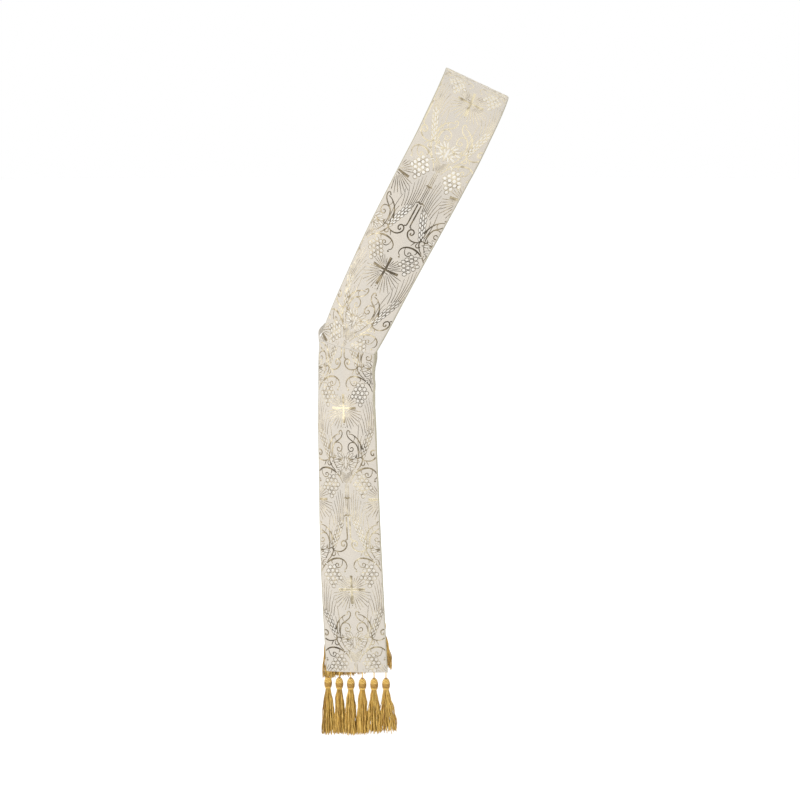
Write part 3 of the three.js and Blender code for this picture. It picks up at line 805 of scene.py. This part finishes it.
def add_figures(panel, figures, gold, pale):
    """The pattern on one panel, raised a little from the brocade and cut off at its edges."""
    parts = Parts()

    def limits(down):
        half = panel.width_at(down) / 2
        left, right = (panel.facing_width(down, side) for side in (-1, 1))
        return -half + left + PATTERN_LIMIT, half - right - PATTERN_LIMIT

    def put(flat, height, faces, slot, smooth):
        down = np.clip(flat[..., 1], END_LIMIT, panel.length - END_LIMIT)
        low, high = limits(down)
        across = np.clip(flat[..., 0], low, high)
        points = panel.place(down, across, CLOTH_THICKNESS + height)
        # Painted sheen for the pads and painted reflection for the metal thread, from the panel's zones
        painted_light = shade(panel.white if slot else panel.gleam, down, across).ravel()
        parts.add(points, faces, together(across, down), slot, smooth, painted_light)

    def inside(line):
        across, down = line.T
        low, high = limits(down)
        from_end = np.minimum(down, panel.length - down)
        return (across > low) & (across < high) & (from_end > FIGURE_LIMIT)

    def put_ribbon(line, widths, closed):
        flat, height = ribbon_rows(line, widths, closed)
        rows, rails = height.shape
        put(flat, height, grid_faces(rows + closed, rails) % (rows * rails), 0, False)

    def put_stroke(line, widths, closed):
        """A ribbon along the line, or along each stretch of it that isn't cut off."""
        shown = inside(line)
        if shown.all():
            put_ribbon(line, widths, closed)
            return
        edges = np.flatnonzero(np.diff(np.concatenate(((0,), shown.astype(int), (0,)))))
        for start, stop in zip(edges[::2], edges[1::2]):
            if stop - start > 1:
                put_ribbon(line[start:stop], widths[start:stop], False)

    def put_pad(outline, slot, rise):
        """A low dome: the outline, a ring halfway in and a middle point."""
        middle = outline.mean(0)
        if not inside(middle[None]).all():
            return
        x, y = outline.T
        if np.sum(x * np.roll(y, -1) - np.roll(x, -1) * y) > 0:
            outline = outline[::-1]
        count = len(outline)
        flat = np.vstack((outline, middle + (outline - middle) * PAD_RING[0], middle))
        height = np.repeat((FIGURE_BASE, rise * PAD_RING[1], rise), (count, count, 1))
        i = np.arange(count)
        k = (i + 1) % count
        put(flat, height, together(i, i + count, k + count, k), slot, True)
        fan = together(i + count, 2 * count, k + count)
        parts.add_faces(fan + parts.count - len(flat), slot, True)

    for column in (-1, 0, 1):
        first = -REPEAT * (2 if column == 0 else 1.5)
        for cross in np.arange(first, panel.length + REPEAT, REPEAT):
            for kind, line, widths in figures:
                flat = panel.woven_at(line + (0, cross), column)
                if kind == "stroke":
                    put_stroke(flat, widths, False)
                    continue
                *_, slot, rise, rim = PADS[kind]
                put_pad(flat, slot, rise)
                if rim:
                    put_stroke(flat, np.full(len(flat), rim), True)
    return add_mesh(panel.name + "_figures", parts, (gold, pale), flip=not panel.is_back)


# The tassels

def tubes(paths, radii, sides, places):
    """Tubes along many paths of equal length, open at both ends. paths is (tubes, steps, 3)."""
    count, steps, _ = paths.shape
    along = unit(np.gradient(paths, axis=1))
    first = unit(np.cross(along, TUBE_SIDE))
    second = np.cross(along, first)
    angle = np.arange(sides) * 2 * np.pi / sides
    ring = first[:, :, None] * np.cos(angle)[:, None] + second[:, :, None] * np.sin(angle)[:, None]
    radii = np.broadcast_to(radii, (count, steps))
    points = paths[:, :, None] + ring * radii[:, :, None, None]
    one = grid_faces(steps, sides, closed=True)
    faces = (one[None] + (np.arange(count) * steps * sides)[:, None, None]).reshape(-1, 4)
    return points, faces, np.broadcast_to(places[:, :, None], (count, steps, sides, 2))


def ply_wave(random):
    """How far a ply waves to one side down its length."""
    size, turns, start = random.uniform(*WAVE_SIZES), random.uniform(*WAVE_TURNS), random.random()
    return size * np.sin(2 * np.pi * (turns * THREAD_DOWN + start)) * smoothstep(THREAD_DOWN, 0, WAVE_FADE)


def skirt_paths(skirt, random):
    """The middle line of every thread in a tassel's skirt, and the yarn it is of: 0 light to 2 dark, the
    tones of painted highlight and painted shade.
    """
    length, lean, spread = skirt
    fanned = 1 + (spread - 1) * smoothstep(THREAD_DOWN, 0, SPREAD_FADE)
    radius = np.interp(THREAD_DOWN, *SKIRT_FLARE) * fanned
    opening = PLY_RADIUS * np.interp(THREAD_DOWN, (0, 1), PLY_OPENING)
    paths, yarns = [], []
    for ply in range(PLIES):
        out = math.sqrt((ply + 0.5) / PLIES) * radius
        angle = ply * GOLDEN_ANGLE + random.normal(0, PLY_STRAY)
        waves = [ply_wave(random) for _ in range(2)]
        reach = length + random.normal(0, PLY_LENGTHS)
        turns, yarn = random.uniform(*PLY_TURNS), random.choice(3, p=YARN_SHARES)
        for _ in range(THREADS_PER_PLY):
            within = math.sqrt(random.random()) * opening
            round_ply = 2 * np.pi * (turns * THREAD_DOWN + random.random())
            x = out * math.cos(angle) + waves[0] + within * np.cos(round_ply) + lean * THREAD_DOWN
            y = out * math.sin(angle) + waves[1] + within * np.sin(round_ply)
            drop = THREAD_DOWN * (reach + random.normal(0, THREAD_LENGTHS) + THREAD_EXTRA)
            z = -CORD_LENGTH - HEAD_LENGTH + THREAD_TUCK - drop
            paths.append(together(x, y * SKIRT_FLATTENING, z))
            yarns.append(random.choice(3, p=YARN_SHARES) if random.random() < ODD_THREADS else yarn)
    return np.array(paths), np.array(yarns)


def around(radius, angle, z):
    """Points round a tassel's middle, flattened like its skirt."""
    return together(radius * np.cos(angle), radius * np.sin(angle) * SKIRT_FLATTENING, z)


def wound_head():
    """The tassel's head as rings of points: a pit round the cord and slanting turns of yarn round a core."""
    profile = [(share * HEAD_LENGTH, radius * HEAD_RADIUS) for share, radius in HEAD_PROFILE]
    drop, radius = spline(profile, HEAD_STEP).T[..., None]
    angle = np.arange(HEAD_SIDES) * 2 * np.pi / HEAD_SIDES
    winding = drop / WINDING_PITCH + angle / (2 * np.pi) * WINDING_STARTS
    sharpness, below = WINDING_SHAPE
    ridge = (np.abs(np.sin(np.pi * winding)) ** sharpness - below) * WINDING_HEIGHT
    radius = radius + ridge * np.interp(radius, WINDING_START, (0, 1))
    points = around(radius, angle, -CORD_LENGTH - drop)
    places = together(winding * WINDING_PITCH, angle * HEAD_RADIUS)
    banded = (drop > HEAD_BAND[0]) & (drop < HEAD_BAND[1])
    # Painted shade: turns lower than the groove depth take the dark yarn
    slots = np.where(ridge < np.where(banded, GROOVE_DEPTH[1], GROOVE_DEPTH[0]), 2, banded)
    # The pit takes the dark yarn as painted shade
    slots[:np.argmin(drop)] = 2
    return points, places, slots


def ring_path(radius, z, wobble, random):
    """A closed turn of yarn that rises and falls by the wobble."""
    angle = np.linspace(0, 2 * np.pi, RING_STEPS)
    phase = random.random() * RING_PHASES
    path = around(radius, angle, z + wobble * np.sin(angle + phase))
    return path[None], together(phase * RING_SHADES, angle * radius)[None]


def cord_paths():
    """Two strands laid round each other from inside the hem into the head."""
    z = np.linspace(CORD_TUCKS[0], -CORD_LENGTH - CORD_TUCKS[1], CORD_STEPS)
    angle = z / CORD_LENGTH * CORD_TURNS * 2 * np.pi + np.array(((0,), (np.pi,)))
    strands = together(CORD_TWIST_RADIUS * np.cos(angle), CORD_TWIST_RADIUS * np.sin(angle), z)
    return strands, together(np.array(CORD_SHADES)[:, None], z)


def add_tassel(name, top, skirt, seed, yarns, is_back):
    """One tassel with its cord, wound head, neck rings and skirt of threads."""
    random = np.random.default_rng(seed)
    parts = Parts()

    def put(points, faces, places, slot):
        parts.add(points * (1, -1 if is_back else 1, 1) + top, faces, places, slot)

    strands, places = cord_paths()
    put(*tubes(strands, CORD_STRAND_RADIUS, CORD_SIDES, places), 0)
    points, places, slots = wound_head()
    put(points, grid_faces(len(points), HEAD_SIDES, closed=True), places, slots[:-1].ravel())
    for below, radius, thick, wobble, slot in RINGS:
        path, places = ring_path(radius, -CORD_LENGTH - below, wobble, random)
        put(*tubes(path, thick, RING_SIDES, places), slot)
    paths, shades = skirt_paths(skirt, random)
    radii = THREAD_RADIUS * np.append(np.ones(THREAD_STEPS - 1), THREAD_TIP)
    own = random.uniform(0, NOISE_SPAN, len(paths))
    places = together(own[:, None], THREAD_DOWN * skirt[0])
    put(*tubes(paths, radii, THREAD_SIDES, places), np.repeat(shades, (THREAD_STEPS - 1) * THREAD_SIDES))
    piece = add_mesh(name + "_yarn", parts, yarns, flip=is_back)
    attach(piece, "root")
    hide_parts(name)
    return piece


# The tab

def tab_end(panel):
    """Where one end of the tab lies: under the panel, at the panel's corner and a little past it."""
    depth = -SEAM_GAP - TAB_CLEARANCE - TAB_THICKNESS / 2
    half = panel.width_at(0) / 2
    tuck = TAB_TUCK * panel.width[0] / panel.chord[0]
    start, corner = (panel.place(0.0, across, depth) for across in (-half + tuck, -half))
    start[2] = corner[2]
    return start, corner, corner + unit(corner - start) * TAB_LEAD


def add_tab(front, back, brocade):
    """The tab round the hip, from under the front panels' outer corner to under the back panels'."""
    front_end, back_end = tab_end(front), tab_end(back)
    outermost = (front_end[1] + back_end[1]) / 2
    outermost[0] = min(front_end[1][0], back_end[1][0]) - TAB_BULGE
    route = spline((*front_end, outermost, *back_end[::-1]), TAB_STEP)
    along = unit(np.gradient(route, axis=0))
    outward = unit(np.stack((along[:, 1], -along[:, 0], np.zeros(len(route))), 1))
    angle = np.linspace(0, 2 * np.pi, TAB_SIDES, endpoint=False)
    thick = TAB_THICKNESS / 2 * np.sign(np.cos(angle)) * np.abs(np.cos(angle)) ** TAB_ROUNDNESS
    high = TAB_HEIGHT / 2 * np.sin(angle)
    steps = distances(route)[:, None]
    gather = sum(size * np.sin(high * up + steps * on) for size, up, on in TAB_GATHERS)
    points = (route[:, None] + outward[:, None] * (thick + gather)[..., None]
              + np.array((0, 0, 1)) * high[:, None])
    parts = Parts()
    parts.add(points, grid_faces(len(route), TAB_SIDES, closed=True), together(high, steps))
    ring = np.arange(TAB_SIDES)
    parts.add_faces([ring, ring[::-1] + (len(route) - 1) * TAB_SIDES])
    piece = add_mesh("side_tab_cloth", parts, (brocade,), flip=True)
    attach(piece, "root")
    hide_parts("side_tab")
    return piece


# Materials

class Finish:
    """A material with short ways to add nodes to it."""

    def __init__(self, name, **constants):
        self.material = bpy.data.materials.new(name)
        self.material.use_nodes = True
        self.tree = self.material.node_tree
        self.surface = self.tree.nodes["Principled BSDF"]
        for socket, value in constants.items():
            self.surface.inputs[socket.replace("_", " ")].default_value = value

    def feed(self, node, name, value):
        """Links an output to an input, or sets the input to a constant."""
        if isinstance(value, bpy.types.NodeSocket):
            self.tree.links.new(value, node.inputs[name])
        else:
            node.inputs[name].default_value = value

    def add(self, kind, inputs, output=0, **settings):
        """An output of a new node with these inputs and settings."""
        node = self.tree.nodes.new(kind)
        for name, value in settings.items():
            setattr(node, name, value)
        for name, value in inputs.items():
            self.feed(node, name, value)
        return node.outputs[output]

    def sums(self, operation, first, second=0.0):
        return self.add("ShaderNodeMath", {0: first, 1: second}, operation=operation)

    def noise(self, x, y, detail=2.0):
        """Noise whose grains are about x wide and y long on the cloth, in millimetres, from 0 to 1."""
        cloth = self.add("ShaderNodeUVMap", {}, uv_map="cloth")
        scaled = self.add("ShaderNodeMapping", {"Vector": cloth, "Scale": (1 / x, 1 / y, 1)})
        inputs = {"Vector": scaled, "Scale": 1.0, "Detail": detail}
        return self.add("ShaderNodeTexNoise", inputs, "Fac", noise_dimensions="2D")

    def coordinate(self, layer, axis):
        """One coordinate of a UV layer: of "cloth" in millimetres, of the second layer the painted reflection
        of the metal thread and the painted sheen of the pads, as the zones give them.
        """
        place = self.add("ShaderNodeUVMap", {}, uv_map=layer)
        return self.add("ShaderNodeSeparateXYZ", {"Vector": place}, axis)

    def threads(self, pitch, along):
        """Rounded threads side by side. along is True for threads that run down the cloth."""
        turns = self.sums("MULTIPLY", self.coordinate("cloth", "X" if along else "Y"), math.pi / pitch)
        return self.sums("ABSOLUTE", self.sums("SINE", turns))

    def ramp(self, value, low, high, start=0.0, end=1.0):
        inputs = {"Value": value, "From Min": low, "From Max": high, "To Min": start, "To Max": end}
        return self.add("ShaderNodeMapRange", inputs, "Result")

    def mix(self, share, *colours):
        """Two colours, each an output or a constant, mixed."""
        first, second = (c if isinstance(c, bpy.types.NodeSocket) else (*c, 1) for c in colours)
        return self.add("ShaderNodeMix", {0: share, 6: first, 7: second}, 2, data_type="RGBA")

    def mottled(self, noise, colours):
        """Two colours in soft patches."""
        return self.mix(self.ramp(noise, 0.35, 0.65), *colours)

    def roughness(self, noise, smooth, rough):
        return self.ramp(noise, 0.2, 0.8, smooth, rough)

    def finished(self, colour, roughness, height, distance, strength):
        """The material with these, and a bump of a height from 0 to 1 times a distance in millimetres."""
        bump = {"Height": height, "Distance": distance / 1000, "Strength": strength}
        normal = self.add("ShaderNodeBump", bump, "Normal")
        for name, value in (("Base Color", colour), ("Roughness", roughness), ("Normal", normal)):
            self.feed(self.surface, name, value)
        return self.material


def brocade_ground():
    """The satin ground between the figures: warm cream, finely ribbed."""
    finish = Finish("brocade_ground", Sheen_Weight=0.08, Sheen_Roughness=0.5, Specular_IOR_Level=0.3)
    slub = finish.noise(7, 0.9, 3.0)
    tone = finish.mottled(finish.noise(38, 52), GROUND_COLOURS)
    colour = finish.mix(finish.ramp(slub, 0.4, 0.75, 0.0, 0.45), tone, SLUB_COLOUR)
    weave = finish.sums("MULTIPLY", finish.threads(0.55, True), finish.threads(0.8, False))
    height = finish.sums("ADD", weave, finish.sums("MULTIPLY", slub, 0.6))
    return finish.finished(colour, finish.roughness(slub, 0.52, 0.66), height, 0.08, 0.35)


def gold_thread():
    """The flat metal thread of the figures, with painted reflection: its colour is bright in some zones and
    dark in others.
    """
    finish = Finish("gold_thread", Metallic=1.0)
    # Painted reflection: the zones' level from the second UV layer, moved up and down by patches of noise,
    # picks the dark, middle or bright colour
    patch = finish.ramp(finish.noise(11, 14), 0.3, 0.7, -0.28, 0.28)
    painted_light = finish.sums("ADD", finish.coordinate("painted_light", "X"), patch)
    dark, middle, bright = GOLD_PAINTED_REFLECTIONS
    low = finish.mix(finish.ramp(painted_light, 0.0, 0.5), dark, middle)
    colour = finish.mix(finish.ramp(painted_light, 0.5, 0.95), low, bright)
    roughness = finish.roughness(finish.noise(1.6, 0.5, 3.0), 0.24, 0.38)
    floats = finish.sums("MULTIPLY", finish.noise(4, 3, 1.0), 3.0)
    height = finish.sums("ADD", finish.threads(0.5, True), floats)
    return finish.finished(colour, roughness, height, 0.12, 0.5)


def pale_thread():
    """The satin of the grapes, kernels and leaves, whiter in some zones, where painted sheen is laid on its
    own pale colour.
    """
    finish = Finish("pale_thread", Sheen_Weight=0.15, Sheen_Roughness=0.4)
    grain = finish.noise(2.4, 0.8, 3.0)
    plain, white = (finish.mix(finish.ramp(grain, 0.3, 0.7), *pair) for pair in (PLAIN_PADS, WHITE_AND_SHEEN_PADS))
    # Painted sheen: the zones' value from the second UV layer mixes the plain satin towards white
    colour = finish.mix(finish.coordinate("painted_light", "X"), plain, white)
    height = finish.sums("ADD", finish.threads(0.5, False), grain)
    return finish.finished(colour, finish.roughness(grain, 0.34, 0.5), height, 0.06, 0.4)


def lining_satin():
    """The olive beige satin that shows inside and along the edges, its colour partly darkened as painted
    shade.
    """
    finish = Finish("lining_satin", Sheen_Weight=0.1, Sheen_Roughness=0.4)
    colour = finish.mottled(finish.noise(30, 46), LINING_AND_PAINTED_SHADE)
    twill = finish.noise(0.5, 6)
    height = finish.sums("ADD", finish.threads(0.45, True), twill)
    return finish.finished(colour, finish.roughness(twill, 0.38, 0.5), height, 0.05, 0.3)


def gold_yarn(name, light, dark):
    """Glossy gold yarn. Every thread has its own place in the noise, so its own shade."""
    finish = Finish(name, Sheen_Weight=0.06, Sheen_Roughness=0.3, Specular_IOR_Level=0.45)
    shade = finish.noise(3.1, 14)
    colour = finish.mottled(shade, (light, dark))
    return finish.finished(colour, finish.roughness(shade, 0.3, 0.46), finish.threads(1.2, False), 0.12, 0.5)


# Studio

def add_plate(name, corners, finish):
    """A flat stage piece through its corners, in metres."""
    mesh = bpy.data.meshes.new(name)
    mesh.from_pydata(corners, [], [tuple(range(len(corners)))])
    mesh.materials.append(finish.material)
    plate = add_object(name, mesh)
    return plate


def add_floor():
    angles = [2 * math.pi * i / FLOOR_SIDES for i in range(FLOOR_SIDES)]
    corners = [(FLOOR_RADIUS * math.cos(a), FLOOR_RADIUS * math.sin(a), FLOOR_HEIGHT) for a in angles]
    add_plate("floor", corners, Finish("floor_paper", Base_Color=FLOOR_COLOUR, Roughness=0.9))


def add_card(name, sides, depths, heights, brightness):
    """A card that only reflections see, so that the metal thread has something less bright to mirror."""
    finish = Finish(name, Base_Color=BLACK, Specular_IOR_Level=0, Emission_Color=WHITE,
                    Emission_Strength=brightness)
    finish.material.cycles.emission_sampling = "NONE"
    corners = [(sides[i], depths[k], heights[k]) for i, k in ((0, 0), (1, 0), (1, 1), (0, 1))]
    card = add_plate(name, corners, finish)
    card.visible_camera = card.visible_diffuse = card.visible_shadow = False


def add_key_light():
    """A wide, soft light from above the camera's left, as even on the floor as on the stole."""
    light = bpy.data.lights.new("key_light", "SUN")
    light.energy = KEY_STRENGTH
    light.angle = math.radians(KEY_WIDTH)
    holder = add_object("key_light", light)
    holder.rotation_euler = [math.radians(angle) for angle in KEY_TURN]
    holder.visible_glossy = False


def add_softbox(name, place, aim, size, power, mirrored):
    light = bpy.data.lights.new(name, "AREA")
    light.shape = "RECTANGLE"
    light.size, light.size_y = size
    light.energy = power
    holder = add_object(name, light)
    holder.location = place
    x, y, z = np.subtract(aim, place)
    holder.rotation_euler = (math.atan2(math.hypot(x, y), -z), 0, math.atan2(y, x) - math.pi / 2)
    holder.visible_camera = False
    holder.visible_glossy = mirrored


def add_world():
    """Even white surroundings: one brightness as backdrop, one as light and one in reflections."""
    world = bpy.data.worlds.new("studio")
    world.use_nodes = True
    tree = world.node_tree
    rays = tree.nodes.new("ShaderNodeLightPath")
    shader = tree.nodes["Background"]
    shader.inputs["Color"].default_value = WHITE
    shader.inputs["Strength"].default_value = WORLD_LIGHT
    for kind, strength in (("Is Glossy Ray", WORLD_IN_REFLECTIONS), ("Is Camera Ray", WORLD_AS_BACKDROP)):
        seen = tree.nodes.new("ShaderNodeBackground")
        seen.inputs["Color"].default_value = WHITE
        seen.inputs["Strength"].default_value = strength
        mix = tree.nodes.new("ShaderNodeMixShader")
        tree.links.new(rays.outputs[kind], mix.inputs[0])
        tree.links.new(shader.outputs[0], mix.inputs[1])
        tree.links.new(seen.outputs[0], mix.inputs[2])
        shader = mix
    tree.links.new(shader.outputs[0], tree.nodes["World Output"].inputs["Surface"])
    bpy.context.scene.world = world


def make_studio():
    add_floor()
    add_world()
    add_key_light()
    for card in CARDS:
        add_card(*card)
    for softbox in SOFTBOXES:
        add_softbox(*softbox)
    bpy.context.scene.view_settings.view_transform = "Standard"


# The whole stole

def make_stole():
    ground, gold, pale, lining = brocade_ground(), gold_thread(), pale_thread(), lining_satin()
    yarns = [gold_yarn(*yarn) for yarn in YARNS]
    figures = column_figures()
    hips = {}
    for is_back, half in enumerate(("front", "back")):
        shoulder = Panel(
            f"{half}_shoulder_panel", SHOULDER_PATH, (SHOULDER_WIDTH, HIP_WIDTH), is_back, True, (),
            SHOULDER_FOLDS, (PLAIN_FACING, PLAIN_FACING),
            (SHOULDER_GRAIN, SHOULDER_SAG, SHOULDER_ROW_TILT, SHOULDER_PAINTED_REFLECTION, SHOULDER_WHITENESS_AND_SHEEN))
        tail = Panel(
            f"{half}_tail_panel", [(row[0] + SEAM_GAP, *row[1:]) for row in TAIL_PATH],
            (HIP_WIDTH, HEM_WIDTH), is_back, False, TAIL_PUCKERS, TAIL_FOLDS,
            (PLAIN_FACING, TAIL_FACING), (TAIL_GRAIN, 0, TAIL_ROW_TILT, TAIL_PAINTED_REFLECTION, TAIL_WHITENESS_AND_SHEEN))
        hips[half] = tail
        tassels = []
        for i, skirt in enumerate(SKIRTS):
            inset = TASSEL_INSET / (tail.chord[-1] / 2)
            share = np.interp(i, (0, len(SKIRTS) - 1), (-1 + inset, 1 - inset))
            top = tail.place(tail.length, share * tail.width[-1] / 2, CLOTH_THICKNESS / 2)
            top = top - (0, 0, SEAM_GAP)
            seed = BACK_SEED * is_back + i
            tassels.append(add_tassel(f"{half}_tassel_{i + 1}", top, skirt, seed, yarns, is_back))
        for panel, hung in ((shoulder, []), (tail, tassels)):
            cloth = panel.add_cloth(ground, lining)
            pattern = add_figures(panel, figures, gold, pale)
            for piece in (cloth, pattern):
                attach(piece, "root")
            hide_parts(panel.name)
    add_tab(hips["front"], hips["back"], ground)


make_camera()
make_stole()
make_studio()
